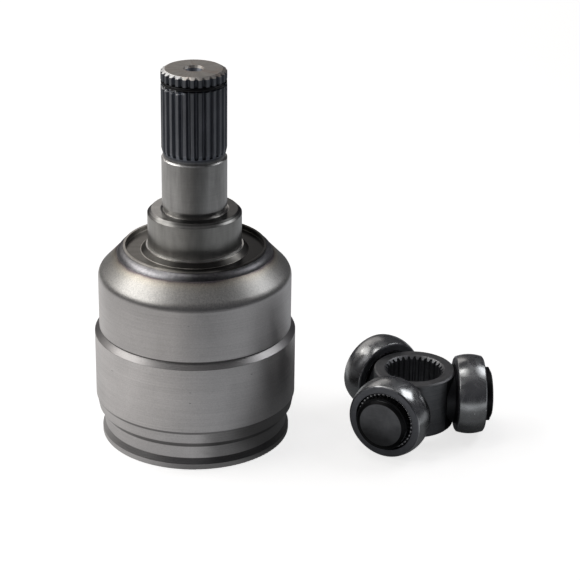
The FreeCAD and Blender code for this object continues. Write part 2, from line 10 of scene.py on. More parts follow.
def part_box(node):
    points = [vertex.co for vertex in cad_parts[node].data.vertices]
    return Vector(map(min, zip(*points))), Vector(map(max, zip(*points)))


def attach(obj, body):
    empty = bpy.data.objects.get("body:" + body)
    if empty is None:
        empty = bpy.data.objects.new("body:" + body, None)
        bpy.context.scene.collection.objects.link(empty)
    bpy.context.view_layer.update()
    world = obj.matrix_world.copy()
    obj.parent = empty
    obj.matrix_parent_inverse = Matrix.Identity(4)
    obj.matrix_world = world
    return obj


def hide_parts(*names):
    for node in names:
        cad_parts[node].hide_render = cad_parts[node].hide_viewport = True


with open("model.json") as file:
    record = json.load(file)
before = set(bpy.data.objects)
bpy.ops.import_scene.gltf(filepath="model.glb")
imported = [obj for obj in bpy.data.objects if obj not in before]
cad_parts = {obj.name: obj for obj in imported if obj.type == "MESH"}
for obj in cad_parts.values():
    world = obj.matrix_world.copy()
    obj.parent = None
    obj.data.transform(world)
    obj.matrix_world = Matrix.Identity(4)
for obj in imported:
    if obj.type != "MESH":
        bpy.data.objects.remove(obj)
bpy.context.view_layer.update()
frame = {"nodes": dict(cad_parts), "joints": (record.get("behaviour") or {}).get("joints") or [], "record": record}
MM = 0.001


# Housing cup. A forged steel tulip, turned all over outside, with the cone shot-blasted and
# the last millimetres beside the weld tinted by its heat. The tracks inside are hardened.

CUP_STEEL = (0.585, 0.567, 0.565)
CONE_STEEL = (0.635, 0.622, 0.60)
TRACK_STEEL = (0.16, 0.155, 0.155)
cup_low, cup_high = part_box("housing_cup")
seam_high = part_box("weld_seam")[1]
LIP_TOP = cup_low.z + 2.4 * MM
LIP_BEVEL_TOP = cup_low.z + 5.1 * MM
BOOT_STEP = (cup_low.z + 10.7 * MM, cup_low.z + 13.1 * MM)
WALL_STEP = (cup_low.z + 17.6 * MM, cup_low.z + 18.7 * MM)
SHOULDER_FOOT = cup_low.z + 47.0 * MM
UNDERCUT_FOOT = cup_low.z + 49.0 * MM
UNDERCUT_TOP = cup_low.z + 49.8 * MM
CONE_FOOT = cup_high.z - 8.3 * MM
CAVITY_WALL = 37.5 * MM
BEAD_EDGE = seam_high.x
EDGE_ROLL = 0.3 * MM

# Stretches of x, from left to right. Along the first three, painted shade deepens, and along the last
# one the wall is darker.
STEP_SHADE = (-42.0 * MM, -24.0 * MM)
LIP_SHADE = (-30.0 * MM, 5.0 * MM)
SEAT_SHADE = (0.0, 14.0 * MM)
SEAT_SHADE_WANDER = 14.0 * MM
LEFT_WALL_DARKENING = (-38.0 * MM, -10.0 * MM)

# Heat tint from the bead outwards, at shares of its width.
TINT_WIDTH = 5.0 * MM
TINT_WANDER = 2.4 * MM
HEAT_TINTS = [
    (0.0, (0.28, 0.25, 0.29)),
    (0.07, (0.40, 0.35, 0.36)),
    (0.15, (0.76, 0.69, 0.62)),
    (0.30, (0.97, 0.93, 0.86)),
    (0.60, (1.0, 0.99, 0.97)),
    (1.0, (1.0, 1.0, 1.0)),
]


def node(tree, kind, inputs=(), **settings):
    """Adds a node with its settings. An input's value is a number, a colour or a node's output."""
    made = tree.nodes.new(kind)
    for name, value in settings.items():
        setattr(made, name, value)
    for socket, value in dict(inputs).items():
        if isinstance(value, bpy.types.NodeSocket):
            tree.links.new(value, made.inputs[socket])
        else:
            made.inputs[socket].default_value = value
    return made


def calc(tree, operation, *values):
    """A sum, difference or other Math operation of numbers and outputs."""
    return node(tree, "ShaderNodeMath", enumerate(values), operation=operation).outputs[0]


def product(tree, first, *others):
    """All the values multiplied together."""
    for other in others:
        first = calc(tree, "MULTIPLY", first, other)
    return first


def greatest(tree, first, *others):
    """The greatest of the values at each point."""
    for other in others:
        first = calc(tree, "MAXIMUM", first, other)
    return first


def vector_of(tree, x, y, z):
    """Joins three values into a vector."""
    return node(tree, "ShaderNodeCombineXYZ", {0: x, 1: y, 2: z}).outputs[0]


def parts_of(tree, vector):
    """Splits a vector or a colour into its three values."""
    return node(tree, "ShaderNodeSeparateXYZ", {0: vector}).outputs[:3]


def length_of(tree, x, y, z=0.0):
    """The square root of the sum of the squares of x, y and z."""
    vector = vector_of(tree, x, y, z)
    return node(tree, "ShaderNodeVectorMath", {0: vector}, operation="LENGTH").outputs["Value"]


def rise(tree, value, start, end, low=0.0, high=1.0):
    """Goes smoothly from low to high while value goes from start to end."""
    inputs = {"Value": value, "From Min": start, "From Max": end, "To Min": low, "To Max": high}
    return node(tree, "ShaderNodeMapRange", inputs, interpolation_type="SMOOTHSTEP").outputs[0]


def fall(tree, value, start, end):
    """Goes smoothly from 1 to 0 while value goes from start to end."""
    return rise(tree, value, start, end, 1.0, 0.0)


def between(tree, mask, low, high):
    """Low where the mask is 0 and high where it is 1, with a smooth change between."""
    return rise(tree, mask, 0.0, 1.0, low, high)


def band(tree, value, start, end, soft):
    """1 between start and end, 0 outside, with edges that are soft wide."""
    into = rise(tree, value, start - soft / 2, start + soft / 2)
    out = fall(tree, value, end - soft / 2, end + soft / 2)
    return product(tree, into, out)


def scaled_where(tree, factor, mask, change):
    """The factor times change where the mask is 1, and as it is where the mask is 0."""
    return product(tree, factor, between(tree, mask, 1.0, change))


def vary(tree, factor, pattern, amount):
    """The factor plus amount times what the pattern has above its middle, 0.5."""
    return calc(tree, "MULTIPLY_ADD", calc(tree, "SUBTRACT", pattern, 0.5), amount, factor)


def noise(tree, vector, scale, detail=3.0, roughness=0.55, distortion=0.0):
    """Cloudy pattern between 0 and 1, with scale clouds to a metre."""
    inputs = {
        "Vector": vector, "Scale": scale, "Detail": detail,
        "Roughness": roughness, "Distortion": distortion,
    }
    return node(tree, "ShaderNodeTexNoise", inputs).outputs["Fac"]


def mix(tree, share, first, second, mode="MIX"):
    """Colour that goes from first to second as share goes from 0 to 1."""
    made = node(tree, "ShaderNodeMix", data_type="RGBA", blend_type=mode)
    for socket, value in ((0, share), (6, first), (7, second)):
        if isinstance(value, bpy.types.NodeSocket):
            tree.links.new(value, made.inputs[socket])
        elif socket:
            made.inputs[socket].default_value = (*value, 1.0)
        else:
            made.inputs[socket].default_value = value
    return made.outputs[2]


def tone(tree, colour, factor):
    """The colour made lighter or darker by a factor."""
    grey = vector_of(tree, factor, factor, factor)
    return mix(tree, 1.0, colour, grey, "MULTIPLY")


def ramp(tree, value, stops):
    """Colour ramp through (position, colour) stops."""
    made = node(tree, "ShaderNodeValToRGB", {0: value})
    elements = made.color_ramp.elements
    while len(elements) < len(stops):
        elements.new(0.5)
    for element, (position, colour) in zip(elements, stops):
        element.position = position
        element.color = (*colour, 1.0)
    return made.outputs[0]


def marks(tree, point, scale, share):
    """Short level dashes, one in each of some cells of a flattened Voronoi pattern."""
    x, y, z = parts_of(tree, point)
    flattened = vector_of(tree, x, y, product(tree, z, 4.0))
    cells = node(tree, "ShaderNodeTexVoronoi", {"Vector": flattened, "Scale": scale})
    chosen = rise(tree, parts_of(tree, cells.outputs["Color"])[0], 1.0 - share - 0.01, 1.0 - share)
    return product(tree, fall(tree, cells.outputs["Distance"], 0.04, 0.09), chosen)


def bump(tree, height, distance, strength, onto=None):
    """Normals of a surface whose relief is distance deep, on top of other normals if given."""
    inputs = {"Height": height, "Distance": distance, "Strength": strength}
    if onto is not None:
        inputs["Normal"] = onto
    return node(tree, "ShaderNodeBump", inputs).outputs[0]


def soft_edges(tree):
    """Normals that roll over a sharp edge, as on a part whose edges are broken by hand."""
    return node(tree, "ShaderNodeBevel", {"Radius": EDGE_ROLL}, samples=6).outputs[0]


def new_metal(name):
    """A metal with a bare Principled shader: returns the material, its tree and the shader."""
    material = bpy.data.materials.new(name)
    material.use_nodes = True
    tree = material.node_tree
    shader = tree.nodes["Principled BSDF"]
    shader.inputs["Metallic"].default_value = 1.0
    return material, tree, shader


def feed(tree, shader, colour, roughness, normal=None):
    """Links what was worked out to the shader."""
    tree.links.new(colour, shader.inputs["Base Color"])
    tree.links.new(roughness, shader.inputs["Roughness"])
    if normal is not None:
        tree.links.new(normal, shader.inputs["Normal"])


def place_on_object(tree):
    """The point on the piece, in metres."""
    return node(tree, "ShaderNodeTexCoord").outputs["Object"]


def place_round_axis(tree):
    """The point, its three coordinates, and its distance from the housing's axis."""
    point = place_on_object(tree)
    x, y, height = parts_of(tree, point)
    return point, (x, y, height), length_of(tree, x, y)


def turning_lines(tree, point, along, pitch, drift=30.0):
    """Noise drawn out round the axis: one line for each pitch of travel, fading as it goes round."""
    x, y, _ = parts_of(tree, point)
    travel = calc(tree, "DIVIDE", along, pitch)
    stretched = vector_of(tree, product(tree, x, drift), product(tree, y, drift), travel)
    return noise(tree, stretched, scale=1.0, detail=2.0)


def dress(names, material):
    """Gives the material to CAD nodes in place of their plain one."""
    for name in names:
        mesh = frame["nodes"][name].data
        mesh.materials.clear()
        mesh.materials.append(material)


def cup_painted_shade(tree, x, height, cloud):
    """The share of the tone that is kept under painted shade. The steps beside the boot seat and the lip's
    wall have painted shade that deepens towards the right, the lip's bevel has it all round, the seat
    has it at the right, and the upper wall is darker at the left.
    """
    steps = greatest(
        tree, band(tree, height, *BOOT_STEP, 0.3 * MM), band(tree, height, *WALL_STEP, 0.3 * MM))
    steps = product(tree, steps, rise(tree, x, *STEP_SHADE, low=0.35))
    bevel = product(tree, band(tree, height, LIP_TOP, LIP_BEVEL_TOP, 0.2 * MM), 0.6)
    lip = product(
        tree, fall(tree, height, LIP_TOP - 0.1 * MM, LIP_TOP),
        rise(tree, x, *LIP_SHADE, high=0.85))
    kept = scaled_where(tree, 1.0, greatest(tree, steps, bevel, lip), 0.40)
    seat_shade = rise(tree, vary(tree, x, cloud, SEAT_SHADE_WANDER), *SEAT_SHADE)
    seat_shade = product(tree, seat_shade, band(tree, height, LIP_TOP, WALL_STEP[0], 0.6 * MM))
    kept = scaled_where(tree, kept, seat_shade, 0.45)
    left_wall = product(
        tree, band(tree, x, *LEFT_WALL_DARKENING, 12.0 * MM), band(tree, height, UNDERCUT_TOP, CONE_FOOT, 3.0 * MM))
    return scaled_where(tree, kept, left_wall, 0.82)


def heat_tint(tree, point, radius):
    """Purple at the bead, then brown and straw, fading into the steel, uneven round the weld."""
    wander = vary(tree, 0.0, noise(tree, point, scale=60.0), TINT_WANDER)
    off_bead = calc(tree, "ADD", calc(tree, "SUBTRACT", radius, BEAD_EDGE), wander)
    return ramp(tree, calc(tree, "DIVIDE", off_bead, TINT_WIDTH), HEAT_TINTS)


def housing_steel():
    """Turned steel with tool marks, grain and clouding, each a few percent of its tone. The cone is
    blasted, so it keeps few of the marks and has more grain.
    """
    material, tree, shader = new_metal("housing_steel_turned")
    point, (x, _, height), radius = place_round_axis(tree)
    along = calc(tree, "MULTIPLY_ADD", radius, 0.7, height)
    fine = turning_lines(tree, point, along, pitch=0.35 * MM)
    coarse = turning_lines(tree, point, along, pitch=2.2 * MM, drift=18.0)
    grain = noise(tree, point, scale=1600.0, detail=4.0, roughness=0.7)
    cloud = noise(tree, point, scale=45.0, detail=4.0, roughness=0.6, distortion=0.6)
    cone = rise(tree, height, CONE_FOOT - 1.2 * MM, CONE_FOOT + 0.6 * MM)
    marks_left = between(tree, cone, 1.0, 0.12)
    inside = product(
        tree, fall(tree, radius, CAVITY_WALL, CAVITY_WALL + 0.3 * MM),
        band(tree, height, cup_low.z + 0.2 * MM, CONE_FOOT, 0.2 * MM))
    ground = mix(tree, cone, CUP_STEEL, CONE_STEEL)
    ground = mix(tree, inside, ground, TRACK_STEEL)
    factor = vary(tree, 1.0, fine, product(tree, marks_left, 0.30))
    factor = vary(tree, factor, grain, between(tree, cone, 0.5, 1.2))
    factor = vary(tree, factor, cloud, 0.35)
    factor = vary(tree, factor, coarse, 0.12)
    # Painted shade in the undercut, and less of it on the shoulder below.
    undercut = band(tree, height, UNDERCUT_FOOT, UNDERCUT_TOP, 0.1 * MM)
    factor = scaled_where(tree, factor, undercut, 0.25)
    shoulder = band(tree, height, SHOULDER_FOOT, UNDERCUT_FOOT, 0.2 * MM)
    factor = scaled_where(tree, factor, shoulder, 0.72)
    nicks = product(tree, marks(tree, point, scale=120.0, share=0.10), marks_left)
    factor = scaled_where(tree, factor, nicks, 0.35)
    # Painted shade on the steps, the lip, its bevel and the seat, and a darker wall at the left.
    ground = tone(tree, ground, product(tree, factor, cup_painted_shade(tree, x, height, cloud)))
    tinted = mix(tree, 1.0, ground, heat_tint(tree, point, radius), "MULTIPLY")
    ground = mix(tree, cone, ground, tinted)
    rough = vary(tree, calc(tree, "MULTIPLY_ADD", cone, 0.06, 0.36), grain, 0.16)
    lines = product(tree, fine, marks_left)
    normal = bump(tree, grain, distance=0.03 * MM, strength=0.6, onto=soft_edges(tree))
    normal = bump(tree, lines, distance=0.012 * MM, strength=0.6, onto=normal)
    feed(tree, shader, ground, rough, normal)
    return material


dress(["housing_cup"], housing_steel())


# Stub shaft. Turned from bar with its flange, then ground on collar and journal and rolled
# with 26 spline teeth; the tooth spaces are painted darker than the crests, as painted shade.

FLANGE_STEEL = (0.22, 0.21, 0.195)
COLLAR_STEEL = (0.30, 0.295, 0.285)
JOURNAL_STEEL = (0.36, 0.355, 0.35)
SPACE_STEEL = (0.175, 0.186, 0.215)
CREST_STEEL = (0.25, 0.26, 0.285)
END_FACE_STEEL = (0.50, 0.478, 0.452)
RUST = (0.46, 0.34, 0.28)
mounts = {mount["name"]: mount for mount in frame["record"]["mounts"]}
shaft_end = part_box("stub_shaft")[1].z
COLLAR_FOOT = seam_high.z + 1.1 * MM
COLLAR_TOP = mounts["collar_face"]["pos_m"][2]
JOURNAL_TOP = COLLAR_TOP + 23.0 * MM
NECK = (JOURNAL_TOP, JOURNAL_TOP + 2.0 * MM)
BURR_FOOT = shaft_end - 7.5 * MM
BURR_TOP = shaft_end - 6.1 * MM
END_FACE = (shaft_end - 1.02 * MM, shaft_end - 0.95 * MM)
FLANGE_LIP = 28.6 * MM
FLARE_FOOT = 22.3 * MM
FLARE_RIM = 20.5 * MM
FACE_BORE = 14.2 * MM
TIP_RADIUS = 13.45 * MM
TOOTH_ENDS = (TIP_RADIUS - 1.7 * MM, TIP_RADIUS - 1.5 * MM)

# Stretches of y, from front to back, and then of x, from left to right, along which painted shade or
# painted highlight comes or goes on the shaft.
FLARE_FRONT_SHADE = (-17.0 * MM, -9.0 * MM)
FACE_SHADE = (-15.5 * MM, -8.0 * MM)
FLOOR_SHADE = (-16.0 * MM, 4.0 * MM)
FLOOR_DEEP_SHADE = (4.0 * MM, 16.0 * MM)
FACE_SHINE = (-14.0 * MM, -3.0 * MM)
FACE_RIGHT_SHADE = (5.0 * MM, 13.0 * MM)
FLANGE_LIP_SHINE = (2.0 * MM, 16.0 * MM)
JOURNAL_SHINE = (-2.0 * MM, 6.0 * MM)
BURR_SHINE = (-11.0 * MM, -2.0 * MM)
TOOTH_SHINE = (-11.0 * MM, 5.0 * MM)


def lightened(tree, factor, gain):
    """The factor raised by the share gain of itself."""
    return product(tree, factor, calc(tree, "ADD", gain, 1.0))


def shaft_colour(tree, point, radius, height, end):
    """Each turned or ground part in its own steel, and a breath of rust on the end face."""
    ground = mix(tree, rise(tree, height, COLLAR_FOOT - 0.2 * MM, COLLAR_FOOT), FLANGE_STEEL, COLLAR_STEEL)
    ground = mix(tree, rise(tree, height, COLLAR_TOP, COLLAR_TOP + 0.3 * MM), ground, JOURNAL_STEEL)
    # The tooth spaces are darker than the crests: painted shade in the spaces.
    crest = rise(tree, radius, TIP_RADIUS - 0.14 * MM, TIP_RADIUS - 0.03 * MM)
    teeth = mix(tree, crest, SPACE_STEEL, CREST_STEEL)
    ground = mix(tree, rise(tree, height, *NECK), ground, teeth)
    ground = mix(tree, end, ground, END_FACE_STEEL)
    patches = noise(tree, point, scale=110.0, detail=4.0, roughness=0.6, distortion=1.5)
    rust = rise(tree, patches, 0.52, 0.66, high=0.45)
    return mix(tree, product(tree, end, rust), ground, RUST)


def recess_painted_shade(tree, x, y, radius, flange):
    """The share of the tone that is kept under painted shade in the flange's recess: a quarter on its
    flare in front, and on its floor less and less towards the right.
    """
    flare = product(
        tree, flange, band(tree, radius, FLARE_RIM, FLARE_FOOT, 0.1 * MM),
        rise(tree, y, *FLARE_FRONT_SHADE, low=1.0, high=0.1))
    floor = product(tree, flange, rise(tree, radius, FLARE_FOOT, FLARE_FOOT + 0.1 * MM))
    kept = scaled_where(tree, 1.0, flare, 0.25)
    kept = scaled_where(tree, kept, product(tree, floor, rise(tree, x, *FLOOR_SHADE)), 0.30)
    return scaled_where(tree, kept, product(tree, floor, rise(tree, x, *FLOOR_DEEP_SHADE)), 0.15)


def painted_edge_highlights(tree, x, radius, flange, fillet):
    """1 where an edge has a painted highlight, at both rims of the flare and on the flange's lip, up to
    1.8 at the lip's right, and 0.5 at the journal's fillet.
    """
    return greatest(
        tree,
        product(tree, flange, band(tree, radius, FLARE_RIM - 0.8 * MM, FLARE_RIM, 0.05 * MM)),
        product(tree, flange, band(tree, radius, FLARE_FOOT, FLARE_FOOT + 0.4 * MM, 0.1 * MM)),
        product(
            tree, rise(tree, radius, FLANGE_LIP, FLANGE_LIP + 0.1 * MM),
            rise(tree, x, *FLANGE_LIP_SHINE, low=1.0, high=1.8)),
        product(tree, fillet, 0.5))


def spline_painted_highlights(tree, kept, point, x, radius, height, end):
    """The share of the tone that is kept along the spline. The tooth ends, the flakes of a burr beside
    the ring's groove and the journal's last edge have painted highlights at the left, and the neck above
    the journal is dark.
    """
    tips = product(
        tree, end, rise(tree, radius, *TOOTH_ENDS), rise(tree, x, *TOOTH_SHINE, low=2.2, high=0.0))
    flakes = rise(tree, noise(tree, point, scale=900.0, detail=2.0), 0.50, 0.56)
    burr = product(
        tree, band(tree, height, BURR_FOOT, BURR_TOP, 0.2 * MM), flakes,
        rise(tree, x, *BURR_SHINE, low=11.0, high=0.0))
    edge = product(
        tree, band(tree, height, JOURNAL_TOP - 0.5 * MM, JOURNAL_TOP + 0.1 * MM, 0.1 * MM),
        rise(tree, x, *JOURNAL_SHINE, low=1.6, high=0.3))
    for shine in (tips, burr, edge):
        kept = lightened(tree, kept, shine)
    neck = band(tree, height, JOURNAL_TOP + 0.1 * MM, JOURNAL_TOP + 2.2 * MM, 0.3 * MM)
    return scaled_where(tree, kept, neck, 0.55)


def collar_nicks_and_painted_light(tree, kept, point, x, y, height, face, fillet):
    """The share of the tone that is kept on the collar, which has nicks, and on its face, which has painted
    shade in front and at the right and a painted highlight at the left.
    """
    front = product(tree, face, fall(tree, y, *FACE_SHADE))
    kept = scaled_where(tree, kept, front, 0.5)
    collar = band(tree, height, COLLAR_FOOT, COLLAR_TOP, 0.2 * MM)
    nicks = product(tree, marks(tree, point, scale=170.0, share=0.12), collar)
    kept = scaled_where(tree, kept, nicks, 0.2)
    ring = calc(tree, "SUBTRACT", face, fillet)
    kept = lightened(tree, kept, product(tree, ring, rise(tree, x, *FACE_SHINE, low=0.9, high=0.0)))
    return scaled_where(tree, kept, product(tree, ring, rise(tree, x, *FACE_RIGHT_SHADE)), 0.35)


def running_stains(tree, x, y, height):
    """Stains that run down the ground cylinders: noise that changes fast round the axis and slowly
    with the height.
    """
    outwards = node(tree, "ShaderNodeVectorMath", {0: vector_of(tree, x, y, 0.0)}, operation="NORMALIZE")
    across, back, _ = parts_of(tree, outwards.outputs[0])
    return noise(tree, vector_of(tree, across, back, product(tree, height, 9.0)), scale=7.0)


def shaft_steel():
    """Ground steel with fine lines round it. Near its foot the collar is duller, and painted paler as painted
    light.
    """
    material, tree, shader = new_metal("shaft_steel_ground")
    point, (x, y, height), radius = place_round_axis(tree)
    along = calc(tree, "MULTIPLY_ADD", radius, 0.8, height)
    fine = turning_lines(tree, point, along, pitch=0.22 * MM, drift=25.0)
    grain = noise(tree, point, scale=2200.0, detail=4.0, roughness=0.7)
    cloud = noise(tree, point, scale=80.0, detail=4.0, roughness=0.6, distortion=0.8)
    end = rise(tree, height, *END_FACE)
    flange = fall(tree, height, COLLAR_FOOT, COLLAR_FOOT + 0.2 * MM)
    face = band(tree, height, COLLAR_TOP - 0.8 * MM, COLLAR_TOP + 0.1 * MM, 0.05 * MM)
    fillet = product(tree, face, fall(tree, radius, FACE_BORE, FACE_BORE + 0.1 * MM))
    # The collar's foot is painted paler, a painted light, and made duller.
    hem = fall(tree, height, COLLAR_FOOT + 1.0 * MM, COLLAR_FOOT + 6.0 * MM)
    hem = product(tree, hem, calc(tree, "SUBTRACT", 1.0, flange))
    # Painted shade in the recess and on the collar's face, painted highlights on edges and the spline.
    kept = recess_painted_shade(tree, x, y, radius, flange)
    kept = lightened(tree, kept, product(tree, painted_edge_highlights(tree, x, radius, flange, fillet), 1.6))
    kept = spline_painted_highlights(tree, kept, point, x, radius, height, end)
    kept = collar_nicks_and_painted_light(tree, kept, point, x, y, height, face, fillet)
    kept = lightened(tree, kept, hem)
    stains = calc(tree, "MULTIPLY_ADD", running_stains(tree, x, y, height), 0.7, 0.65)
    ground = shaft_colour(tree, point, radius, height, end)
    ground = tone(tree, ground, product(tree, kept, stains))
    factor = vary(tree, 1.0, fine, 0.28)
    factor = vary(tree, factor, cloud, 0.4)
    factor = vary(tree, factor, grain, 0.2)
    ground = tone(tree, ground, factor)
    rough = vary(tree, 0.30, grain, 0.12)
    rough = calc(tree, "ADD", rough, rise(tree, height, *NECK, high=0.22))
    rough = calc(tree, "MULTIPLY_ADD", hem, 0.22, rough)
    normal = bump(tree, fine, distance=0.008 * MM, strength=0.5, onto=soft_edges(tree))
    feed(tree, shader, ground, rough, normal)
    return material


dress(["stub_shaft"], shaft_steel())


# Weld bead. A laser-and-wire bead that joins the flange to the cup, silvery and finely rippled.
# In front it has a painted highlight at the left, painted shade in the middle and less of it at the right.

BEAD_STEELS = [
    (0.30, (0.215, 0.21, 0.225)),
    (0.5, (0.28, 0.275, 0.287)),
    (0.75, (0.36, 0.352, 0.356)),
]
BEAD_FRONT = (-30.0 * MM, -10.0 * MM)
HIGHLIGHT_TO_SHADE = (-14.0 * MM, 4.0 * MM)
SHADE_FADES = (8.0 * MM, 20.0 * MM)


def bead_steel():
    """Mottled steel, clouded, with painted highlight and shade in front."""
    material, tree, shader = new_metal("weld_bead_steel")
    point = place_on_object(tree)
    x, y, _ = parts_of(tree, point)
    mottle = noise(tree, point, scale=800.0, detail=4.0, roughness=0.6, distortion=0.5)
    ground = ramp(tree, mottle, BEAD_STEELS)
    ground = tone(tree, ground, calc(tree, "MULTIPLY_ADD", noise(tree, point, scale=70.0), 0.8, 0.6))
    front = fall(tree, y, *BEAD_FRONT)
    front_highlight_and_shade = product(
        tree, rise(tree, x, *HIGHLIGHT_TO_SHADE, low=-0.9, high=0.62),
        rise(tree, x, *SHADE_FADES, low=1.0, high=0.35))
    ground = tone(tree, ground, calc(tree, "SUBTRACT", 1.0, product(tree, front, front_highlight_and_shade)))
    rough = calc(tree, "MULTIPLY_ADD", mottle, 0.2, 0.32)
    feed(tree, shader, ground, rough, bump(tree, mottle, distance=0.05 * MM, strength=0.5))
    return material


dress(["weld_seam"], bead_steel())


# Snap ring and circlips. Black oiled spring steel, bent from wire or stamped from strip, and
# sprung into their grooves.

SPRING_STEEL = (0.03, 0.03, 0.032)


def filmed_steel(name, steel, scale, detail, tones, roughness, relief=None):
    """Steel under an uneven film of oil. The tone and the roughness each go up from their first value
    by their second times the film.
    """
    material, tree, shader = new_metal(name)
    film = noise(tree, place_on_object(tree), scale, detail)
    ground = tone(tree, steel, calc(tree, "MULTIPLY_ADD", film, tones[1], tones[0]))
    rough = calc(tree, "MULTIPLY_ADD", film, roughness[1], roughness[0])
    normal = bump(tree, film, distance=relief, strength=0.4) if relief else None
    feed(tree, shader, ground, rough, normal)
    return material


dress(
    ["snap_ring", "circlip_1", "circlip_2", "circlip_3"],
    filmed_steel(
        "spring_steel_oiled", SPRING_STEEL, scale=300.0, detail=3.0,
        tones=(0.6, 0.8), roughness=(0.32, 0.2), relief=0.02 * MM),
)


# Spider. A forged hub with three trunnions, case-hardened dark; its faces are turned and its
# bore is broached with inner teeth, bright where the bevel cuts them.

SPIDER_STEEL = (0.21, 0.214, 0.224)
HUB_FACE_STEEL = (0.27, 0.27, 0.278)
TRUNNION_END_STEEL = (0.24, 0.24, 0.25)
tripod_axis = next(joint["axis"] for joint in frame["joints"] if joint["name"] == "joint_angle")
TRIPOD_TURN = math.atan2(tripod_axis[1], tripod_axis[0])
tripod_centre = Vector(mounts["spider_spline"]["pos_m"])
HUB_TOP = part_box("spider")[1].z - tripod_centre.z
BORE_WALL = 12.7 * MM
SHOULDER_SIDE = 12.4 * MM
END_DISC = 9.5 * MM

# Stretches over which one surface gives way to the next: heights off the hub's middle and, for the
# trunnions' ends, distances from its axis. The last is the stretch of height over which the shade
# low on those ends fades.
BORE_BEVEL = (HUB_TOP - 1.5 * MM, HUB_TOP - 1.2 * MM)
HUB_BEVEL = (HUB_TOP - 1.2 * MM, HUB_TOP - 0.8 * MM)
HUB_FACE = (HUB_TOP - 0.7 * MM, HUB_TOP - 0.5 * MM)
TRUNNION_END = (32.4 * MM, 32.7 * MM)
END_SHADE = (-8.0 * MM, 3.0 * MM)


def trunnion_turn(index):
    """Angle round the hub of the trunnion of that index, from 0 to 2."""
    return TRIPOD_TURN + math.tau / 3 * index


def place_on_tripod(tree, index=0):
    """Coordinates about the tripod's centre, with X along the trunnion of that index."""
    inputs = {
        "Vector": place_on_object(tree), "Location": tripod_centre,
        "Rotation": (0.0, 0.0, trunnion_turn(index)),
    }
    return node(tree, "ShaderNodeMapping", inputs, vector_type="TEXTURE").outputs[0]


def spider_painted_shade(tree, x, y, z, radius, end):
    """The share of the tone that is kept: a tenth on the bevelled rim of a trunnion's end, less low on
    that end than high as painted shade, and a quarter on the shoulder of the first trunnion, as painted
    shade of its roller. The bore is brighter than the hub.
    """
    turned = calc(tree, "WRAP", calc(tree, "ARCTAN2", y, x), math.pi / 3, -math.pi / 3)
    off_trunnion = length_of(tree, product(tree, radius, calc(tree, "SINE", turned)), z)
    rim = product(tree, end, rise(tree, off_trunnion, END_DISC - 0.1 * MM, END_DISC + 0.1 * MM))
    low_end = product(tree, end, rise(tree, z, *END_SHADE, low=0.65, high=0.0))
    kept = scaled_where(tree, calc(tree, "SUBTRACT", 1.0, low_end), rim, 0.10)
    off_middle = calc(tree, "ABSOLUTE", z)
    bore = product(
        tree, fall(tree, radius, BORE_WALL, BORE_WALL + 0.2 * MM),
        rise(tree, off_middle, *BORE_BEVEL, low=1.0, high=0.35))
    kept = scaled_where(tree, kept, bore, 1.5)
    shoulder = product(
        tree, rise(tree, x, SHOULDER_SIDE, SHOULDER_SIDE + 0.6 * MM),
        fall(tree, off_middle, *HUB_BEVEL),
        calc(tree, "SUBTRACT", 1.0, end))
    return scaled_where(tree, kept, shoulder, 0.25)


def spider_steel():
    """Dark steel, mottled all over and turned on its faces. The trunnions' ends are cloudier."""
    material, tree, shader = new_metal("spider_steel_hardened")
    point = place_on_tripod(tree)
    x, y, z = parts_of(tree, point)
    radius = length_of(tree, x, y)
    along = calc(tree, "MULTIPLY_ADD", radius, 0.7, z)
    lines = turning_lines(tree, point, along, pitch=0.5 * MM, drift=60.0)
    mottle = noise(tree, point, scale=260.0, detail=5.0, roughness=0.65, distortion=0.4)
    cloud = noise(tree, point, scale=90.0)
    top = rise(tree, calc(tree, "ABSOLUTE", z), *HUB_FACE)
    end = rise(tree, radius, *TRUNNION_END)
    ground = mix(tree, top, SPIDER_STEEL, HUB_FACE_STEEL)
    ground = mix(tree, end, ground, TRUNNION_END_STEEL)
    ground = tone(tree, ground, spider_painted_shade(tree, x, y, z, radius, end))
    factor = vary(tree, 1.0, lines, between(tree, end, 0.5, 0.2))
    factor = vary(tree, factor, mottle, 0.7)
    factor = vary(tree, factor, cloud, between(tree, end, 0.5, 1.4))
    ground = tone(tree, ground, factor)
    rough = calc(tree, "MULTIPLY_ADD", mottle, 0.2, 0.34)
    normal = bump(tree, mottle, distance=0.03 * MM, strength=0.5, onto=soft_edges(tree))
    normal = bump(tree, lines, distance=0.01 * MM, strength=0.5, onto=normal)
    feed(tree, shader, ground, rough, normal)
    return material


dress(["spider"], spider_steel())


# Ball rollers. Through-hardened rings, their crowns ground to a sphere and lightly oiled,
# their side faces left dark and matte. Each turns on its needles.

CROWN_STEEL = (0.54, 0.545, 0.55)
SIDE_STEEL = (0.22, 0.223, 0.24)
NICK_STEEL = (0.95, 0.95, 0.95)
CROWN_EDGE = 15.75 * MM


def crown_nicks(tree, point):
    """Small bright nicks, one in each of some cells of a Voronoi pattern."""
    cells = node(tree, "ShaderNodeTexVoronoi", {"Vector": point, "Scale": 240.0})
    chosen = rise(tree, parts_of(tree, cells.outputs["Color"])[0], 0.78, 0.80)
    return product(tree, fall(tree, cells.outputs["Distance"], 0.07, 0.10), chosen)


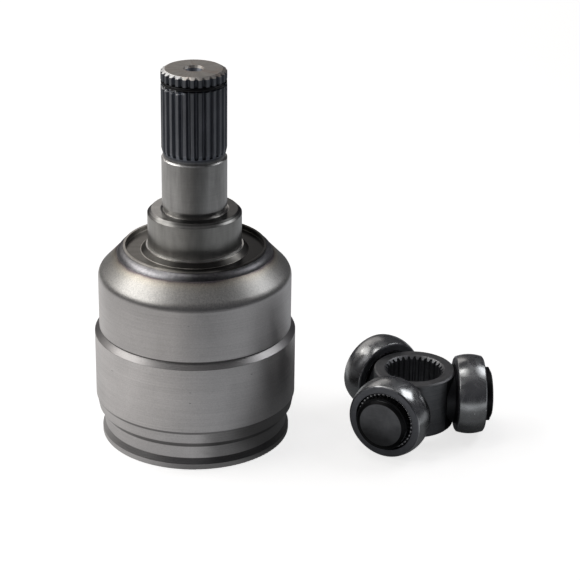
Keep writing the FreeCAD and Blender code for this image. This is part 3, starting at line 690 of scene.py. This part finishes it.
def roller_steel(index):
    """Bright crown with smudges and nicks, and darker side faces, about the roller's own trunnion."""
    material, tree, shader = new_metal(f"roller_{index + 1}_steel")
    point = place_on_tripod(tree, index)
    _, y, z = parts_of(tree, point)
    grain = noise(tree, point, scale=1500.0, detail=4.0, roughness=0.7)
    cloud = noise(tree, point, scale=120.0, detail=4.0, roughness=0.6, distortion=1.0)
    crown = rise(tree, length_of(tree, 0.0, y, z), CROWN_EDGE, CROWN_EDGE + 0.35 * MM)
    nicks = crown_nicks(tree, point)
    ground = mix(tree, crown, SIDE_STEEL, CROWN_STEEL)
    ground = tone(tree, ground, vary(tree, vary(tree, 1.0, cloud, 0.6), grain, 0.25))
    ground = mix(tree, product(tree, nicks, crown), ground, NICK_STEEL)
    smudges = rise(tree, noise(tree, point, scale=150.0, distortion=1.0), 0.38, 0.66)
    rough = greatest(tree, calc(tree, "MULTIPLY_ADD", smudges, 0.13, 0.20), product(tree, nicks, 0.7))
    rough = calc(tree, "ADD", rough, between(tree, crown, 0.18, 0.0))
    normal = bump(tree, grain, distance=0.006 * MM, strength=0.4, onto=soft_edges(tree))
    feed(tree, shader, ground, rough, normal)
    return material


for index in range(3):
    dress([f"roller_{index + 1}"], roller_steel(index))


# Needles. Bearing steel with domed ends, ground and polished, 38 round each trunnion with no
# cage. Oil dulls them, so only the middle of each end catches the light.

NEEDLE_STEEL = (0.42, 0.42, 0.43)
NEEDLE_COUNT = 38
NEEDLE_RING = 11.9 * MM
NEEDLE_RADIUS = 0.95 * MM
NEEDLE_SIDES = 12
DOME_HEIGHT = 0.45 * MM
DOME_RINGS = 5


def reach_along(name, index):
    """First and last place of a node along the trunnion of that index, from the tripod's centre."""
    mesh = frame["nodes"][name].data
    points = np.empty(len(mesh.vertices) * 3)
    mesh.vertices.foreach_get("co", points)
    turn = trunnion_turn(index)
    axis = np.array([math.cos(turn), math.sin(turn), 0.0])
    along = (points.reshape(-1, 3) - np.array(tripod_centre)) @ axis
    return along.min(), along.max()


def tube_mesh(name, points):
    """Object made of tubes: points has the shape tubes, rings, points round a ring, 3. Each face joins
    a point and the next one round to the same two on the next ring.
    """
    tubes, rings, sides, _ = points.shape
    start = np.arange(tubes)[:, None, None] * rings * sides
    ring = np.arange(rings - 1)[None, :, None] * sides
    side = np.arange(sides)[None, None, :]
    after = (side + 1) % sides
    faces = np.stack([
        start + ring + side, start + ring + after,
        start + ring + sides + after, start + ring + sides + side,
    ], axis=-1)
    mesh = bpy.data.meshes.new(name)
    mesh.from_pydata(points.reshape(-1, 3).tolist(), [], faces.reshape(-1, 4).tolist())
    mesh.polygons.foreach_set("use_smooth", np.ones(len(mesh.polygons), dtype=bool))
    mesh.update()
    made = bpy.data.objects.new(name, mesh)
    bpy.context.scene.collection.objects.link(made)
    return made


def make_needles(index):
    """Each needle is a circle carried along its own line. The circle keeps the needle's radius, and
    over the dome's height at each end it shrinks as the height of an ellipse does.
    """
    first, last = reach_along(f"needles_{index + 1}", index)
    quarter = np.linspace(0.0, math.pi / 2, DOME_RINGS)
    along = np.concatenate([
        first + DOME_HEIGHT * (1 - np.cos(quarter)), last - DOME_HEIGHT * (1 - np.cos(quarter[::-1]))])
    wide = NEEDLE_RADIUS * np.concatenate([np.sin(quarter), np.sin(quarter[::-1])])
    round_needle = np.linspace(0.0, math.tau, NEEDLE_SIDES, endpoint=False)
    place = np.arange(NEEDLE_COUNT) * math.tau / NEEDLE_COUNT
    side = NEEDLE_RING * np.cos(place)[:, None, None] + wide[:, None] * np.cos(round_needle)
    lift = NEEDLE_RING * np.sin(place)[:, None, None] + wide[:, None] * np.sin(round_needle)
    depth = np.broadcast_to(along[:, None], side.shape)
    turn = trunnion_turn(index)
    points = np.stack([
        tripod_centre.x + depth * math.cos(turn) - side * math.sin(turn),
        tripod_centre.y + depth * math.sin(turn) + side * math.cos(turn),
        tripod_centre.z + lift,
    ], axis=-1)
    return tube_mesh(f"domed_needles_{index + 1}", points)


needle_finish = filmed_steel(
    "needle_steel_polished", NEEDLE_STEEL, scale=500.0, detail=2.0,
    tones=(0.7, 0.5), roughness=(0.12, 0.15))
for index in range(3):
    needles = make_needles(index)
    needles.data.materials.append(needle_finish)
    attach(needles, f"needles_{index + 1}")
    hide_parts(f"needles_{index + 1}")


# Washers. Thin blued rings, punched from sheet, that hold the needles from both sides: the
# inner one on the trunnion's shoulder, the outer one against the circlip.

WASHER_STEEL = (0.025, 0.025, 0.028)

dress(
    [f"{side}_washer_{index}" for side in ("inner", "outer") for index in (1, 2, 3)],
    filmed_steel(
        "washer_steel_blued", WASHER_STEEL, scale=350.0, detail=3.0,
        tones=(0.6, 0.8), roughness=(0.35, 0.2)),
)


# Table, lights and camera. The table is white to the camera, and to the steel it is a sheet that
# glows more at the left. Three soft boxes hang at the left and above, with a pale screen behind
# at the left and a small lamp at the right.

TABLE_HALF = 3.0
TABLE_SEEN = (0.80, 0.80, 0.80)
TABLE_REFLECTED = (0.10, 0.10, 0.10)
WHITE_GLOW = (1.0, 0.995, 0.99)
WHITE_STRENGTH = (0.74, 0.93)
WHITE_GROWS = (0.3, 1.5)
SHEET_SIDES = (0.34, 0.46)
SHEET_FRONT = (-0.255, -0.195)
SHEET_BACK = (0.30, 0.42)
WARM_GLOW = (1.0, 0.985, 0.965)
COOL_GLOW = (0.94, 0.97, 1.0)
GLOW_COOLS = (-0.06, 0.05)

# Each step of the sheet's glow: the stretch of x over which it goes from one factor to another.
GLOW_STEPS = [
    ((-0.17, 0.05), (0.84, 0.32)),
    ((-0.20, -0.10), (0.68, 1.0)),
    ((-0.24, -0.18), (1.4, 1.0)),
    ((0.06, 0.12), (1.0, 1.22)),
]

# Painted shadows in the sheet below the tripod, each with its x and y, the width of its edge along
# both, and the factor that is left of the glow.
PAINTED_SHADOWS = [
    ((0.028, 0.17), (-0.06, 0.08), (0.03, 0.04), 0.2),
    ((0.105, 0.145), (-0.018, 0.05), (0.012, 0.012), 0.3),
]


def sheet_glow(tree, x, y):
    """Glow of the sheet in reflections: fades at its four edges, changes by steps from left to right,
    and has painted shadows below the tripod.
    """
    glow = product(
        tree, rise(tree, y, *SHEET_FRONT, low=0.16),
        fall(tree, calc(tree, "ABSOLUTE", x), *SHEET_SIDES),
        fall(tree, y, *SHEET_BACK))
    for stretch, factors in GLOW_STEPS:
        glow = product(tree, glow, rise(tree, x, *stretch, *factors))
    for across, back, soft, factor in PAINTED_SHADOWS:
        patch = product(tree, band(tree, x, *across, soft[0]), band(tree, y, *back, soft[1]))
        glow = scaled_where(tree, glow, patch, factor)
    return glow


def make_table():
    """A flat square at height 0, with one finish for the camera and another for reflections."""
    corners = [(-1, -1), (1, -1), (1, 1), (-1, 1)]
    mesh = bpy.data.meshes.new("table")
    mesh.from_pydata([(x * TABLE_HALF, y * TABLE_HALF, 0.0) for x, y in corners], [], [(0, 1, 2, 3)])
    table = bpy.data.objects.new("table", mesh)
    bpy.context.scene.collection.objects.link(table)
    material = bpy.data.materials.new("table_white")
    material.use_nodes = True
    tree = material.node_tree
    shader = tree.nodes["Principled BSDF"]
    shader.inputs["Roughness"].default_value = 0.9
    shader.inputs["Specular IOR Level"].default_value = 0.05
    seen = node(tree, "ShaderNodeLightPath").outputs["Is Camera Ray"]
    x, y, _ = parts_of(tree, place_on_object(tree))
    shade = mix(tree, seen, TABLE_REFLECTED, TABLE_SEEN)
    hue = mix(tree, rise(tree, x, *GLOW_COOLS), WARM_GLOW, COOL_GLOW)
    white = rise(tree, length_of(tree, x, y), *WHITE_GROWS, *WHITE_STRENGTH)
    glow = greatest(tree, product(tree, seen, white), sheet_glow(tree, x, y))
    tree.links.new(shade, shader.inputs["Base Color"])
    tree.links.new(mix(tree, seen, hue, WHITE_GLOW), shader.inputs["Emission Color"])
    tree.links.new(glow, shader.inputs["Emission Strength"])
    mesh.materials.append(material)


def soft_box(name, place, aim, size, radiance, colour):
    """A rectangular lamp at a place in metres, turned towards aim. Its power is its radiance times pi
    times its area.
    """
    width, depth = size
    lamp = bpy.data.lights.new(name, "AREA")
    lamp.shape = "RECTANGLE"
    lamp.size = width
    lamp.size_y = depth
    lamp.energy = radiance * math.pi * width * depth
    lamp.color = colour
    holder = bpy.data.objects.new(name, lamp)
    bpy.context.scene.collection.objects.link(holder)
    holder.location = place
    away = Vector(place) - Vector(aim)
    holder.rotation_euler = away.to_track_quat("Z", "Y").to_euler()
    holder.visible_camera = False


make_table()
soft_box(
    "left_box", place=(-0.82, -0.16, 0.72), aim=(0.0, -0.02, 0.08), size=(0.86, 0.62),
    radiance=2.15, colour=(1.0, 0.988, 0.965))
soft_box(
    "high_box", place=(-0.62, 0.36, 0.75), aim=(0.0, 0.0, 0.05), size=(0.42, 0.36),
    radiance=1.9, colour=(1.0, 0.98, 0.94))
soft_box(
    "top_box", place=(-0.16, 0.06, 1.05), aim=(0.05, 0.0, 0.05), size=(0.34, 0.30),
    radiance=2.0, colour=(1.0, 0.985, 0.96))
soft_box(
    "back_screen", place=(-0.39, 0.83, 0.62), aim=(0.0, 0.0, 0.12), size=(0.98, 0.50),
    radiance=0.54, colour=(1.0, 0.96, 0.92))
soft_box(
    "right_lamp", place=(0.36, 0.10, 0.37), aim=(0.09, 0.0, 0.05), size=(0.20, 0.20),
    radiance=2.1, colour=(0.96, 0.98, 1.0))

# The room is dark to the steel, a little paler overhead, and white behind the table to the camera.
ROOM_GREYS = [
    (0.0, (0.035, 0.035, 0.04)),
    (0.45, (0.06, 0.06, 0.065)),
    (0.86, (0.07, 0.07, 0.075)),
    (1.0, (0.17, 0.17, 0.175)),
]
ROOM_WHITE = (0.96, 0.96, 0.96)

world = bpy.data.worlds.new("room")
world.use_nodes = True
bpy.context.scene.world = world
room = world.node_tree
upwards = parts_of(room, node(room, "ShaderNodeTexCoord").outputs["Generated"])[2]
straight = node(room, "ShaderNodeLightPath").outputs["Is Camera Ray"]
sky = mix(room, straight, ramp(room, upwards, ROOM_GREYS), ROOM_WHITE)
room.links.new(sky, room.nodes["Background"].inputs["Color"])

# The camera stands in front, looks down and is turned a little about its own line of sight.
CAMERA_PLACE = (0.0399, -0.769, 0.405)
CAMERA_DOWN_DEG = 23.87
CAMERA_ROLL_DEG = 0.87
PICTURE_PIXELS = 580.0
FOCAL_PIXELS = 2000.0
SENSOR_WIDTH_MM = 36.0

camera_data = bpy.data.cameras.new("camera")
camera_data.sensor_width = SENSOR_WIDTH_MM
camera_data.lens = FOCAL_PIXELS * SENSOR_WIDTH_MM / PICTURE_PIXELS
camera_data.clip_start = 0.05
camera_data.clip_end = 20.0
camera = bpy.data.objects.new("camera", camera_data)
bpy.context.scene.collection.objects.link(camera)
camera.matrix_world = (
    Matrix.Translation(CAMERA_PLACE)
    @ Matrix.Rotation(math.radians(90.0 - CAMERA_DOWN_DEG), 4, "X")
    @ Matrix.Rotation(math.radians(CAMERA_ROLL_DEG), 4, "Z")
)
bpy.context.scene.camera = camera
bpy.context.scene.view_settings.view_transform = "Standard"
